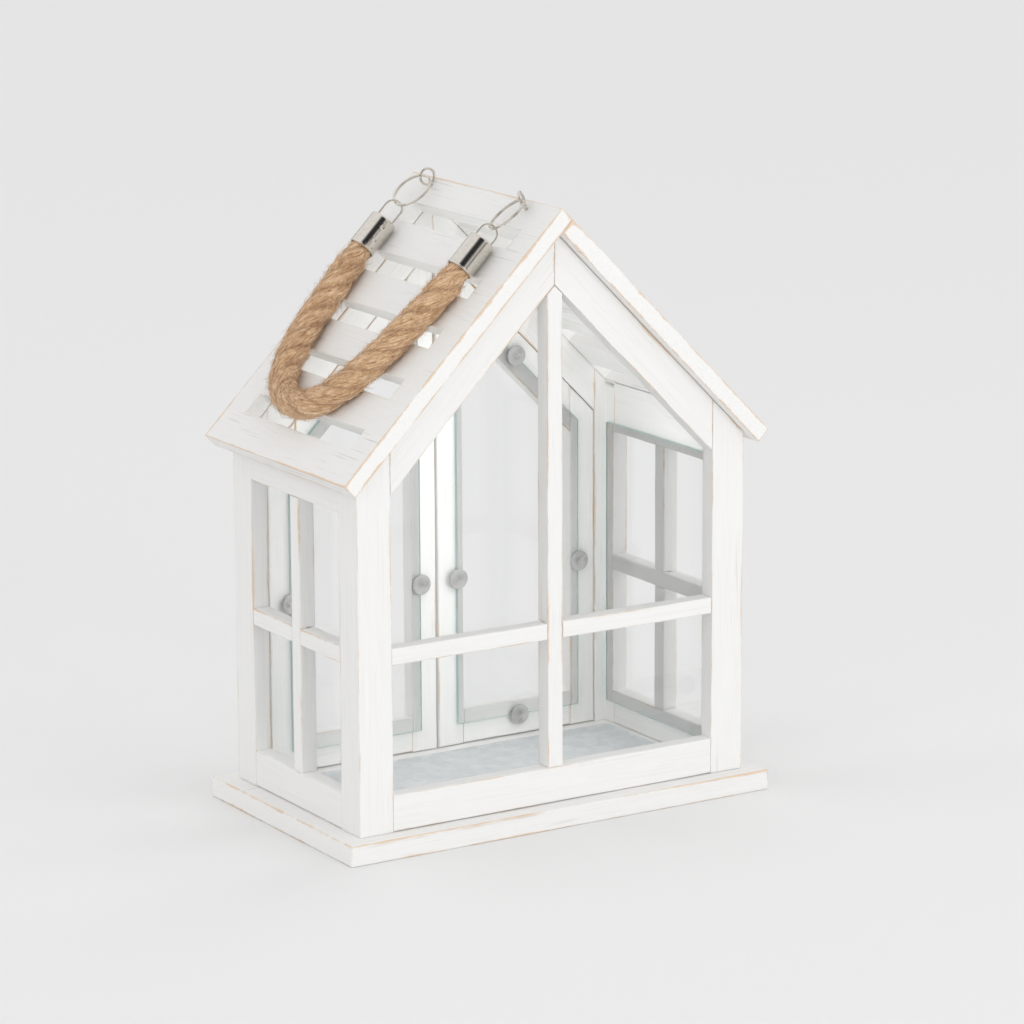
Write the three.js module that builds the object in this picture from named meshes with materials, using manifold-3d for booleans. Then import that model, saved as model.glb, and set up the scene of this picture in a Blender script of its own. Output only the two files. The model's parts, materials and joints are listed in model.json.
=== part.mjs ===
// Hanging lantern: a small glazed wooden house with a slotted gable roof, a pair of glazed
// doors at the back and a rope handle that swings on two split rings over the ridge.
// Millimetres, +Z up, front towards -Y, origin at the bottom centre of the base board.
import * as THREE from 'three';
import { mergeVertices } from 'three/addons/utils/BufferGeometryUtils.js';
import Module from 'manifold-3d';

const wasm = await Module();
wasm.setup();

// ---- driving dimensions ----
const GAP = 0.3;               // clearance between touching pieces
const BASE_W = 278;
const BASE_D = 162;
const BASE_T = 12;
const BODY_W = 254;
const BODY_D = 140;
const TIMBER = 10;             // thickness of the wall frames
const STILE = 21;              // face width of posts, rails and rafters
const BAR = 9.5;               // face width of the glazing bars
const RIDGE_Z = 352;
const ROOF_T = 9.5;
const ROOF_SLOPE = 196.5;      // ridge to eave, along the 45 degree slope
const ROOF_FRONT = -78;
const ROOF_BACK = 81;
const SLOT_COUNT = 5;
const SLOT_WIDTH = 14;
const SLOT_PITCH = 35.5;
const SLOT_START = 19;         // ridge to the first slot, along the slope
const SLOT_BORDER = 20.5;      // roof end to the end of a slot
const BAR_Z = 112;             // middle of the horizontal glazing bars
const SIDE_WINDOW_TOP = 191.5;
const OPENING_RISE = 308.5;    // height at the middle of the front opening's sloped edges
const GLASS_T = 2.5;
const GLASS_LAP = 7;           // how far a pane laps behind its frame
const TRAY_T = 1.2;
const TRAY_GAP = { side: 6, front: 2, back: 12 };  // tray to the inside of the walls
const CUT_OVER = 1;            // how far a cutting shape runs past the faces that it cuts

const DOOR_SEAM = 0.8;         // half the gap between the two doors
const DOOR_EDGE = 109.2;       // hinge edge of a door, from the middle
const DOOR_STILE = 17;
const DOOR_RISE = 312;         // height that the doors' sloped tops reach at the middle
const DOOR_BOTTOM = BASE_T + 0.8;
const DOOR_RAIL_TOP = 34;
const DOOR_OPENING_RISE = 284;
const DOOR_PANE_RISE = 295.7;
const DOOR_PANE_IN = 12.6;     // pane's edges, from the middle
const DOOR_PANE_OUT = 96.4;
const DOOR_PANE_LOW = 25.6;
const DOOR_TOP_GAP = 0.6;      // door's sloped top to the fixed rafter, across the joint
const DISC_R = 6;
const DISC_T = 1.2;
const DISC_SCREW_R = 1.4;
const DISC_SCREW_HEAD = 0.6;
const DISC_SCREW_OFFSET = 3;
const DISC_Z = 114;            // discs on the stiles
const DISC_TOP_X = 53;         // disc on the sloped rail, from the middle

const HINGE_X = 109.5;
const HINGE_Y = BODY_D / 2 + 2.6;
const HINGE_H = 21;
const HINGE_Z = { lower: 48, upper: 176 };
const HINGE_LEAF_W = 10;
const HINGE_LEAF_T = 1;
const HINGE_CURL = 0.6;        // how far a leaf's curl stands out from its plate
const KNUCKLE_R = 2;
const PIN_R = 1;
const PIN_INSET = 1;           // pin's ends, inside the hinge's ends
const KNOB_Z = 140;

const EYE_Y = { back: 54.4, front: -47.6 };
const EYE_S = 4;               // eye centre, down the left slope from the ridge
const EYE_H = 5.8;             // and above the slope's surface
const EYE_R = 4.6;
const EYE_WIRE = 0.75;
const EYE_LEAN = 27;           // degrees from upright, towards the left
const EYE_TURN = { back: 0, front: 50 };     // degrees about the eye's screw
const RING_R = 11.85;
const RING_HALF_WIDTH = 0.55;  // half the split ring's section, across
const RING_HALF_DEPTH = 0.8;   // and along its axis
const RING_ROLL = { back: -5, front: 12 };
const FERRULE_R = 7.85;
const FERRULE_WALL = 0.65;
const FERRULE_CAP = 1.2;
const FERRULE_LENGTH = 21.4;
const FERRULE_Y = { back: 57.4, front: -45.8 };
const FERRULE_S = { back: 39.2, front: 36 };  // closed end of a ferrule, down the slope
const BAIL_WIRE = 0.6;
const BAIL_FOOT = 5.2;         // a bail's feet, from the ferrule's axis
const BAIL_PLAY = 1.9;         // middle of a bail's bend, from the ring's wire
const BAIL_TURN = { back: 48, front: 22 };   // degrees from upright, about the ferrule's axis
const ROPE_R = 8.1;
const ROPE_NECK_R = 6.9;       // where the ferrules squeeze it
const ROPE_H = 8.6;            // rope's and ferrules' axis, above the slope's surface

const UNDER_RISE = RIDGE_Z - ROOF_T * Math.SQRT2;
const WALL_RISE = UNDER_RISE - GAP * Math.SQRT2;
const INNER_X = BODY_W / 2 - TIMBER;
const INNER_Y = BODY_D / 2 - TIMBER;
const FRAME_X = BODY_W / 2 - STILE;
const WINDOW_Y = BODY_D / 2 - STILE + 0.5;
const RAIL_TOP = BASE_T + STILE;

// ---- materials ----
const paint = (name, color, roughness, metalness) => new THREE.MeshStandardMaterial({
  name, color, roughness, metalness,
});
const WHITEWASH = paint('whitewashed_wood', 0xefeeea, 0.7, 0);
const GLASS = new THREE.MeshStandardMaterial({
  name: 'clear_glass', color: 0xe6f1ef, roughness: 0.05, metalness: 0, transparent: true, opacity: 0.3,
});
const NICKEL = paint('bright_nickel', 0xc9c5bf, 0.18, 1);
const ZINC = paint('grey_zinc', 0x9ba5aa, 0.45, 0.9);
const JUTE = paint('jute_rope', 0xb08a5c, 0.95, 0);

const lantern = new THREE.Group();

function place(parent, name, geometry, material) {
  const mesh = new THREE.Mesh(geometry, material);
  mesh.name = name;
  parent.add(mesh);
  return mesh;
}

// ---- shape helpers ----
const ROUND_AXIS = new THREE.Vector3(0, 1, 0);  // axis of a cylinder or lathe before it is turned

function outline(points) {
  return new THREE.Shape(points.map(([a, b]) => new THREE.Vector2(a, b)));
}

function extrude(shape, depth) {
  return new THREE.ExtrudeGeometry(shape, { depth, bevelEnabled: false, curveSegments: 8 });
}

// Outline in the XZ plane, from low to high y.
function prismY(points, low, high) {
  return extrude(outline(points), high - low).rotateX(Math.PI / 2).translate(0, high, 0);
}

// Outline in the XY plane, from low to high z.
function prismZ(points, low, high) {
  return extrude(outline(points), high - low).translate(0, 0, low);
}

function box(x, y, z) {
  const geometry = new THREE.BoxGeometry(x[1] - x[0], y[1] - y[0], z[1] - z[0]);
  return geometry.translate((x[0] + x[1]) / 2, (y[0] + y[1]) / 2, (z[0] + z[1]) / 2);
}

function rod(radius, from, to, sides = 16) {
  const axis = new THREE.Vector3().subVectors(to, from);
  const geometry = new THREE.CylinderGeometry(radius, radius, axis.length(), sides);
  geometry.applyQuaternion(new THREE.Quaternion().setFromUnitVectors(ROUND_AXIS, axis.clone().normalize()));
  return geometry.translate(...from.clone().add(to).multiplyScalar(0.5).toArray());
}

function tube(curve, radius, sides, steps) {
  const section = new THREE.Shape();
  for (let i = 0; i < sides; i += 1) {
    const angle = (i / sides) * 2 * Math.PI;
    const x = radius * Math.cos(angle);
    const y = radius * Math.sin(angle);
    if (i === 0) section.moveTo(x, y);
    else section.lineTo(x, y);
  }
  return new THREE.ExtrudeGeometry(section, { steps, extrudePath: curve, bevelEnabled: false });
}

function toSolid(geometry) {
  const bare = geometry.clone();
  bare.deleteAttribute('normal');
  bare.deleteAttribute('uv');
  const merged = mergeVertices(bare, 1e-4);
  return new wasm.Manifold(new wasm.Mesh({
    numProp: 3,
    vertProperties: Float32Array.from(merged.attributes.position.array),
    triVerts: Uint32Array.from(merged.index.array),
  }));
}

function toGeometry(solid) {
  const mesh = solid.getMesh();
  const geometry = new THREE.BufferGeometry();
  geometry.setAttribute('position', new THREE.BufferAttribute(mesh.vertProperties, 3));
  geometry.setIndex(new THREE.BufferAttribute(mesh.triVerts, 1));
  geometry.computeVertexNormals();
  return geometry;
}

function join(...pieces) {
  return toGeometry(pieces.map(toSolid).reduce((whole, piece) => whole.add(piece)));
}

function cut(piece, ...tools) {
  return toGeometry(tools.map(toSolid).reduce((whole, tool) => whole.subtract(tool), toSolid(piece)));
}

// A wall frame's timber, cut off flush with the underside of the roof boards.
function underRoof(geometry) {
  const far = BODY_W;
  const sky = prismY([
    [-far, WALL_RISE - far], [0, WALL_RISE], [far, WALL_RISE - far],
    [far, RIDGE_Z + far], [-far, RIDGE_Z + far],
  ], -BODY_D, BODY_D);
  return cut(geometry, sky);
}

const SIDES = [['left', -1], ['right', 1]];
const span = (a, b) => [Math.min(a, b), Math.max(a, b)];

// ---- base ----
place(lantern, 'base_board', box(
  [-BASE_W / 2, BASE_W / 2], [-BASE_D / 2, BASE_D / 2], [0, BASE_T],
), WHITEWASH);
const TRAY_X = INNER_X - TRAY_GAP.side;
place(lantern, 'floor_tray', box(
  [-TRAY_X, TRAY_X], [-INNER_Y + TRAY_GAP.front, INNER_Y - TRAY_GAP.back],
  [BASE_T + GAP, BASE_T + GAP + TRAY_T],
), ZINC);

// ---- corner posts: L-shaped, each the end of two walls ----
function addPosts() {
  const outerX = BODY_W / 2;
  const outerY = BODY_D / 2;
  const backEdge = DOOR_EDGE + 2 * GAP;
  for (const [side, sign] of SIDES) {
    const front = [
      [outerX, -outerY], [outerX, -WINDOW_Y], [INNER_X, -WINDOW_Y],
      [INNER_X, -INNER_Y], [FRAME_X, -INNER_Y], [FRAME_X, -outerY],
    ].map(([x, y]) => [sign * x, y]);
    const back = [
      [outerX, WINDOW_Y], [outerX, outerY], [backEdge, outerY],
      [backEdge, INNER_Y], [INNER_X, INNER_Y], [INNER_X, WINDOW_Y],
    ].map(([x, y]) => [sign * x, y]);
    place(lantern, `front_${side}_post`, underRoof(prismZ(front, BASE_T + GAP, RIDGE_Z)), WHITEWASH);
    place(lantern, `back_${side}_post`, underRoof(prismZ(back, BASE_T + GAP, RIDGE_Z)), WHITEWASH);
  }
}
addPosts();

// ---- front frame ----
function addFrontFrame() {
  const y = [-BODY_D / 2, -INNER_Y];
  const lapY = (y[0] + y[1]) / 2;
  const edge = FRAME_X - GAP;
  place(lantern, 'front_bottom_rail', box([-edge, edge], y, [BASE_T + GAP, RAIL_TOP]), WHITEWASH);
  for (const [side, sign] of SIDES) {
    const rafter = prismY([
      [sign * edge, OPENING_RISE - edge], [sign * edge, WALL_RISE - edge],
      [sign * GAP / 2, WALL_RISE], [sign * GAP / 2, OPENING_RISE],
    ], ...y);
    place(lantern, `front_${side}_rafter`, underRoof(rafter), WHITEWASH);
  }
  const half = BAR / 2;
  const peak = OPENING_RISE - GAP * Math.SQRT2;
  const mullion = prismY([
    [-half, RAIL_TOP + GAP], [half, RAIL_TOP + GAP], [half, peak - half], [0, peak], [-half, peak - half],
  ], ...y);
  const lap = box([-BAR, BAR], [lapY, y[1] + CUT_OVER], [BAR_Z - half - GAP, BAR_Z + half + GAP]);
  place(lantern, 'front_mullion', cut(mullion, lap), WHITEWASH);
  const crossBar = box([-edge, edge], y, [BAR_Z - half, BAR_Z + half]);
  const halving = box([-half - GAP, half + GAP], [y[0] - CUT_OVER, lapY + GAP], [BAR_Z - BAR, BAR_Z + BAR]);
  place(lantern, 'front_cross_bar', cut(crossBar, halving), WHITEWASH);
}
addFrontFrame();

// ---- side walls: rails and halved glazing bars between the posts ----
function addSideWalls() {
  const edge = WINDOW_Y - GAP;
  const half = BAR / 2;
  for (const [side, sign] of SIDES) {
    const x = span(sign * INNER_X, sign * BODY_W / 2);
    const lapX = sign * (INNER_X + TIMBER / 2);
    place(lantern, `${side}_bottom_rail`, box(x, [-edge, edge], [BASE_T + GAP, RAIL_TOP]), WHITEWASH);
    const topRail = box(x, [-edge, edge], [SIDE_WINDOW_TOP, RIDGE_Z]);
    place(lantern, `${side}_top_rail`, underRoof(topRail), WHITEWASH);
    const upright = box(x, [-half, half], [RAIL_TOP + GAP, SIDE_WINDOW_TOP - GAP]);
    const uprightLap = box(
      span(sign * (INNER_X - CUT_OVER), lapX), [-BAR, BAR], [BAR_Z - half - GAP, BAR_Z + half + GAP],
    );
    place(lantern, `${side}_mullion`, cut(upright, uprightLap), WHITEWASH);
    const crossBar = box(x, [-edge, edge], [BAR_Z - half, BAR_Z + half]);
    const halving = box(
      span(lapX - sign * GAP, sign * (BODY_W / 2 + CUT_OVER)),
      [-half - GAP, half + GAP], [BAR_Z - BAR, BAR_Z + BAR],
    );
    place(lantern, `${side}_cross_bar`, cut(crossBar, halving), WHITEWASH);
  }
}
addSideWalls();

// ---- fixed rafters over the doors ----
function addBackRafters() {
  const edge = DOOR_EDGE + GAP;
  const low = DOOR_RISE + DOOR_TOP_GAP * Math.SQRT2;
  for (const [side, sign] of SIDES) {
    const rafter = prismY([
      [sign * edge, low - edge], [sign * edge, WALL_RISE - edge],
      [sign * GAP / 2, WALL_RISE], [sign * GAP / 2, low],
    ], INNER_Y, BODY_D / 2);
    place(lantern, `back_${side}_rafter`, underRoof(rafter), WHITEWASH);
  }
}
addBackRafters();

// ---- fixed panes, lapped behind their frames ----
function addFixedPanes() {
  const low = RAIL_TOP - GLASS_LAP;
  const x = FRAME_X + GLASS_LAP;
  const rise = OPENING_RISE + GLASS_LAP * Math.SQRT2;
  const near = -INNER_Y + GAP;
  place(lantern, 'front_glass', prismY([
    [-x, low], [x, low], [x, rise - x], [0, rise], [-x, rise - x],
  ], near, near + GLASS_T), GLASS);
  const sideLap = GLASS_LAP - 2;
  const outer = INNER_X - GAP;
  for (const [side, sign] of SIDES) {
    place(lantern, `${side}_glass`, box(
      span(sign * (outer - GLASS_T), sign * outer),
      [-WINDOW_Y - sideLap, WINDOW_Y + sideLap], [low, SIDE_WINDOW_TOP + sideLap],
    ), GLASS);
  }
}
addFixedPanes();

// ---- doors ----
// A glass retainer: an off-centre disc on a short screw beside the pane's edge.
function retainer(x, z, towards) {
  const face = INNER_Y - GAP - GLASS_T - GAP;
  const screwX = x + towards[0] * DISC_SCREW_OFFSET;
  const screwZ = z + towards[1] * DISC_SCREW_OFFSET;
  const headY = face - DISC_T - DISC_SCREW_HEAD;
  const at = (px, pz, y) => new THREE.Vector3(px, y, pz);
  return join(
    rod(DISC_R, at(x, z, face - DISC_T), at(x, z, face), 24),
    rod(DISC_SCREW_R, at(screwX, screwZ, headY), at(screwX, screwZ, INNER_Y - GAP), 10),
  );
}

function addDoor(side, sign) {
  const y = [INNER_Y, BODY_D / 2];
  const mirror = (points) => points.map(([x, z]) => [sign * x, z]);
  const meetingIn = DOOR_SEAM + DOOR_STILE - GAP;
  const hingeIn = DOOR_EDGE - DOOR_STILE;
  const sloped = (x, rise) => [x, rise - x];
  place(lantern, `${side}_door_meeting_stile`, prismY(mirror([
    [DOOR_SEAM, DOOR_BOTTOM], [meetingIn, DOOR_BOTTOM],
    sloped(meetingIn, DOOR_RISE), sloped(DOOR_SEAM, DOOR_RISE),
  ]), ...y), WHITEWASH);
  place(lantern, `${side}_door_hinge_stile`, prismY(mirror([
    [hingeIn, DOOR_BOTTOM], [DOOR_EDGE, DOOR_BOTTOM],
    sloped(DOOR_EDGE, DOOR_RISE), sloped(hingeIn, DOOR_RISE),
  ]), ...y), WHITEWASH);
  const from = meetingIn + GAP;
  const to = hingeIn - GAP;
  place(lantern, `${side}_door_bottom_rail`, prismY(mirror([
    [from, DOOR_BOTTOM], [to, DOOR_BOTTOM], [to, DOOR_RAIL_TOP], [from, DOOR_RAIL_TOP],
  ]), ...y), WHITEWASH);
  place(lantern, `${side}_door_top_rail`, prismY(mirror([
    sloped(from, DOOR_OPENING_RISE), sloped(to, DOOR_OPENING_RISE),
    sloped(to, DOOR_RISE), sloped(from, DOOR_RISE),
  ]), ...y), WHITEWASH);

  const back = INNER_Y - GAP;
  place(lantern, `${side}_door_glass`, prismY(mirror([
    [DOOR_PANE_IN, DOOR_PANE_LOW], [DOOR_PANE_OUT, DOOR_PANE_LOW],
    sloped(DOOR_PANE_OUT, DOOR_PANE_RISE), sloped(DOOR_PANE_IN, DOOR_PANE_RISE),
  ]), back - GLASS_T, back), GLASS);

  const middle = (DOOR_PANE_IN + DOOR_PANE_OUT) / 2;
  const discs = [
    ['meeting', DOOR_PANE_IN, DISC_Z, [-1, 0]],
    ['hinge', DOOR_PANE_OUT, DISC_Z, [1, 0]],
    ['bottom', middle, DOOR_PANE_LOW, [0, -1]],
    ['top', DISC_TOP_X, DOOR_PANE_RISE - DISC_TOP_X, [Math.SQRT1_2, Math.SQRT1_2]],
  ];
  for (const [where, x, z, towards] of discs) {
    const disc = retainer(sign * x, z, [sign * towards[0], towards[1]]);
    place(lantern, `${side}_door_retainer_${where}`, disc, ZINC);
  }
}
for (const [side, sign] of SIDES) {
  addDoor(side, sign);
}

// ---- butt hinges on the doors' outer faces ----
function addHinge(side, sign, level) {
  const low = HINGE_Z[level] - HINGE_H / 2;
  const high = HINGE_Z[level] + HINGE_H / 2;
  const third = HINGE_H / 3;
  const face = BODY_D / 2 + GAP;
  const clear = KNUCKLE_R + GAP;
  const axisAt = (z) => new THREE.Vector3(sign * HINGE_X, HINGE_Y, z);
  const knuckle = (radius, a, b) => rod(radius, axisAt(a), axisAt(b));
  const plate = (inner, outer, a, b) => box(
    span(sign * (HINGE_X + inner), sign * (HINGE_X + outer)), [face, face + HINGE_LEAF_T], [a, b],
  );
  const curl = (inner, outer, a, b) => box(
    span(sign * (HINGE_X + inner), sign * (HINGE_X + outer)),
    [face + GAP, face + HINGE_LEAF_T + HINGE_CURL], [a, b],
  );
  const fixed = join(
    plate(clear, clear + HINGE_LEAF_W, low, high),
    knuckle(KNUCKLE_R, low, low + third - GAP),
    knuckle(KNUCKLE_R, high - third + GAP, high),
    knuckle(PIN_R, low + PIN_INSET, high - PIN_INSET),
    curl(0, clear + HINGE_LEAF_T, low, low + third - GAP),
    curl(0, clear + HINGE_LEAF_T, high - third + GAP, high),
  );
  place(lantern, `${side}_${level}_hinge_post_leaf`, fixed, NICKEL);
  const moving = cut(
    join(
      plate(-clear - HINGE_LEAF_W, -clear, low, high),
      knuckle(KNUCKLE_R, low + third, high - third),
      curl(-clear - HINGE_LEAF_T, 0, low + third, high - third),
    ),
    knuckle(PIN_R + GAP, low, high),
  );
  place(lantern, `${side}_${level}_hinge_door_leaf`, moving, NICKEL);
}
for (const [side, sign] of SIDES) {
  for (const level of ['lower', 'upper']) {
    addHinge(side, sign, level);
  }
}

// ---- door knob: a turned button on the right door's meeting stile ----
function addKnob() {
  const profile = [
    [0, 0], [4, 0], [4, 1], [2.2, 2.2], [2.2, 4], [5.2, 6.2], [5.8, 8], [4.6, 9.6], [0, 10.4],
  ].map(([r, h]) => new THREE.Vector2(r, h));
  const knob = place(lantern, 'door_knob', new THREE.LatheGeometry(profile, 20), NICKEL);
  knob.position.set(DOOR_SEAM + DOOR_STILE / 2, BODY_D / 2 + GAP, KNOB_Z);
}
addKnob();

// ---- roof: one slotted board on each slope, the left one lapping the right at the ridge ----
// A point over the left slope: s down from the ridge, y along it, h out from its surface.
const leftSlope = (s, y, h) => new THREE.Vector3(
  -(s + h) * Math.SQRT1_2, y, RIDGE_Z + (h - s) * Math.SQRT1_2,
);
const DOWN_SLOPE = new THREE.Vector3(-Math.SQRT1_2, 0, -Math.SQRT1_2);
const OFF_SLOPE = new THREE.Vector3(-Math.SQRT1_2, 0, Math.SQRT1_2);

function roofBoard(sign, start) {
  const slots = [];
  for (let i = 0; i < SLOT_COUNT; i += 1) {
    const s = SLOT_START + i * SLOT_PITCH;
    slots.push(box(
      [s, s + SLOT_WIDTH], [ROOF_FRONT + SLOT_BORDER, ROOF_BACK - SLOT_BORDER],
      [-ROOF_T - CUT_OVER, CUT_OVER],
    ));
  }
  const board = cut(box([start, ROOF_SLOPE], [ROOF_FRONT, ROOF_BACK], [-ROOF_T, 0]), ...slots);
  if (sign < 0) {
    board.rotateZ(Math.PI).translate(0, ROOF_FRONT + ROOF_BACK, 0);
  }
  return board.rotateY(sign * Math.PI / 4).translate(0, 0, RIDGE_Z);
}

const leanAxis = new THREE.Vector3(
  -Math.sin(THREE.MathUtils.degToRad(EYE_LEAN)), 0, Math.cos(THREE.MathUtils.degToRad(EYE_LEAN)),
);
const eyeCentre = (end) => leftSlope(EYE_S, EYE_Y[end], EYE_H);
// Where a ring holds a bail: a ring's width from its eye, on the rope's axis.
const HOLD_S = EYE_S + Math.sqrt((2 * RING_R) ** 2 - (ROPE_H - EYE_H) ** 2);
const holdPoint = (end) => leftSlope(HOLD_S, FERRULE_Y[end], ROPE_H);
const along = (point, distance) => point.clone().addScaledVector(leanAxis, distance);

function addRoof() {
  const screwHoles = ['back', 'front'].map((end) => rod(
    EYE_WIRE + GAP, along(eyeCentre(end), -ROOF_T - EYE_H), along(eyeCentre(end), -EYE_H + CUT_OVER), 10,
  ));
  place(lantern, 'left_roof_board', cut(roofBoard(-1, 0), ...screwHoles), WHITEWASH);
  place(lantern, 'right_roof_board', roofBoard(1, ROOF_T + GAP), WHITEWASH);
}
addRoof();

// ---- screw eyes and split rings ----
function addEye(end) {
  const centre = eyeCentre(end);
  const loop = new THREE.TorusGeometry(EYE_R, EYE_WIRE, 10, 28);
  const turn = THREE.MathUtils.degToRad(EYE_TURN[end]);
  loop.rotateX(Math.PI / 2);
  loop.applyQuaternion(new THREE.Quaternion().setFromAxisAngle(leanAxis, turn));
  loop.translate(...centre.toArray());
  const screw = rod(EYE_WIRE, along(centre, -ROOF_T - EYE_H + 2), along(centre, -EYE_R), 10);
  place(lantern, `${end}_screw_eye`, join(loop, screw), NICKEL);
}

function addRing(end) {
  const inner = RING_R - RING_HALF_WIDTH;
  const outer = RING_R + RING_HALF_WIDTH;
  const profile = [
    [inner, -RING_HALF_DEPTH], [outer, -RING_HALF_DEPTH], [outer, RING_HALF_DEPTH],
    [inner, RING_HALF_DEPTH], [inner, -RING_HALF_DEPTH],
  ].map(([r, h]) => new THREE.Vector2(r, h));
  const ring = place(lantern, `${end}_split_ring`, new THREE.LatheGeometry(profile, 40), NICKEL);
  const across = new THREE.Vector3().subVectors(holdPoint(end), eyeCentre(end)).normalize();
  const axis = OFF_SLOPE.clone().projectOnPlane(across).normalize();
  axis.applyAxisAngle(across, THREE.MathUtils.degToRad(RING_ROLL[end]));
  ring.quaternion.setFromUnitVectors(ROUND_AXIS, axis);
  ring.position.copy(eyeCentre(end)).lerp(holdPoint(end), 0.5);
}

// ---- ferrules: nickel caps with a wire bail, one on each end of the rope ----
function addFerrule(end) {
  const inner = FERRULE_R - FERRULE_WALL;
  const profile = [
    [0, 0], [inner, 0], [FERRULE_R, FERRULE_WALL], [FERRULE_R, FERRULE_LENGTH],
    [inner, FERRULE_LENGTH], [inner, FERRULE_CAP], [0, FERRULE_CAP],
  ].map(([r, h]) => new THREE.Vector2(r, h));
  const cup = new THREE.LatheGeometry(profile, 24);
  cup.applyQuaternion(new THREE.Quaternion().setFromUnitVectors(ROUND_AXIS, DOWN_SLOPE));
  const top = leftSlope(FERRULE_S[end], FERRULE_Y[end], ROPE_H);
  cup.translate(...top.toArray());
  const turn = THREE.MathUtils.degToRad(BAIL_TURN[end]);
  const side = OFF_SLOPE.clone().applyAxisAngle(DOWN_SLOPE, turn);
  const bend = holdPoint(end).addScaledVector(DOWN_SLOPE, -BAIL_PLAY);
  const straight = bend.distanceTo(top) + FERRULE_CAP / 2;
  const bendStart = BAIL_FOOT + 1;
  const arc = [-90, -60, -30, 0, 30, 60, 90].map((degrees) => {
    const angle = THREE.MathUtils.degToRad(degrees);
    return [BAIL_FOOT * (1 - Math.cos(angle)), BAIL_FOOT * Math.sin(angle)];
  });
  const bailPath = new THREE.CatmullRomCurve3([
    [straight, -BAIL_FOOT], [bendStart, -BAIL_FOOT], ...arc, [bendStart, BAIL_FOOT], [straight, BAIL_FOOT],
  ].map(([down, across]) => bend.clone().addScaledVector(DOWN_SLOPE, down).addScaledVector(side, across)));
  const bail = tube(bailPath, BAIL_WIRE, 8, 26);
  place(lantern, `${end}_ferrule`, join(cup, bail), NICKEL);
}

// ---- rope handle: one length of jute rope, lying in a loop on the left slope ----
// Across (y) and down the slope (s) from mouth to mouth.
const ropeMouth = (end) => FERRULE_S[end] + FERRULE_LENGTH;
const ropeLoop = [
  [56.5, 72.5],
  [55, 84],
  [53.2, 98],
  [51.2, 112],
  [48, 126],
  [42.4, 140],
  [32.6, 153],
  [18, 161.6],
  [1, 163.4],
  [-13.5, 157.2],
  [-24, 145.6],
  [-31, 131],
  [-36.8, 114.5],
  [-40.4, 98],
  [-43.2, 84],
  [-45.1, 69.5],
];

// The loop with its straight ends, which start the given way out of the ferrules.
function ropePath(out) {
  const route = [
    [FERRULE_Y.back, ropeMouth('back') + out], ...ropeLoop, [FERRULE_Y.front, ropeMouth('front') + out],
  ];
  return new THREE.CatmullRomCurve3(route.map(([y, s]) => leftSlope(s, y, ROPE_H)));
}

function addRope() {
  const necks = ['back', 'front'].map((end) => rod(
    ROPE_NECK_R, leftSlope(FERRULE_S[end] + FERRULE_CAP + 1, FERRULE_Y[end], ROPE_H),
    leftSlope(ropeMouth(end) + ROPE_NECK_R, FERRULE_Y[end], ROPE_H), 12,
  ));
  const rope = tube(ropePath(4 * GAP), ROPE_R, 12, 56);
  place(lantern, 'rope_handle', join(rope, ...necks), JUTE);
}

for (const end of ['back', 'front']) {
  addEye(end);
  addRing(end);
  addFerrule(end);
}
addRope();

export default lantern;
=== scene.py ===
"""Hanging lantern: a whitewashed, glazed wooden house with a rope handle, dressed around its CAD frame."""
import json
import math
import random

import bmesh
import bpy
import numpy as np
from mathutils import Matrix, Quaternion, Vector, noise

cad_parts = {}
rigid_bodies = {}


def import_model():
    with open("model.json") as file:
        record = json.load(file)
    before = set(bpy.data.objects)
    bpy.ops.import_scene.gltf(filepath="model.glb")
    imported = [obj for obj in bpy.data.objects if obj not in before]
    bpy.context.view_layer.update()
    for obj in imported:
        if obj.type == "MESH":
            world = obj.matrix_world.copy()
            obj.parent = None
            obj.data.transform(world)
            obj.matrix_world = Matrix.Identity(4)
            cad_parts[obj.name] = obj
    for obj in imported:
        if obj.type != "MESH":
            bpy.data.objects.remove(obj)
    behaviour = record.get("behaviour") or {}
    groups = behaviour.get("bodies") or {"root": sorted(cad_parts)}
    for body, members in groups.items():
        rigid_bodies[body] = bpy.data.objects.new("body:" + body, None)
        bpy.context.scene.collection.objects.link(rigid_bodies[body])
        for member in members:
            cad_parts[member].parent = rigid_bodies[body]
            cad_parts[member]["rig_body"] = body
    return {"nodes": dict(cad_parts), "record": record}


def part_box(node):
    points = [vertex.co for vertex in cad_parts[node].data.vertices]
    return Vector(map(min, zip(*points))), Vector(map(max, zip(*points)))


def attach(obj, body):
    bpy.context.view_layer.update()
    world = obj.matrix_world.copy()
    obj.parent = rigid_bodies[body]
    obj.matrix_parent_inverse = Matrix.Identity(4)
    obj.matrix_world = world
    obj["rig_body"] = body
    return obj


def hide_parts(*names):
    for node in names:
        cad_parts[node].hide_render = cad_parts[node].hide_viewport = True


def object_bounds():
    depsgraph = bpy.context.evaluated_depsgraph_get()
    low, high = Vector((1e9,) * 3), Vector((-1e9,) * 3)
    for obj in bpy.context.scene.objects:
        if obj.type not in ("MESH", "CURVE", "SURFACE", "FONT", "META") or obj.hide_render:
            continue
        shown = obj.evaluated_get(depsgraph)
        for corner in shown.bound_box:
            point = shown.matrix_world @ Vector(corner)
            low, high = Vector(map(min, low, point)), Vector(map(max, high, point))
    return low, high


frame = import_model()
cad_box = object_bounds()
noise.seed_set(1)                # without a seed, noise_vector goes by the clock
MM = 0.001

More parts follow.
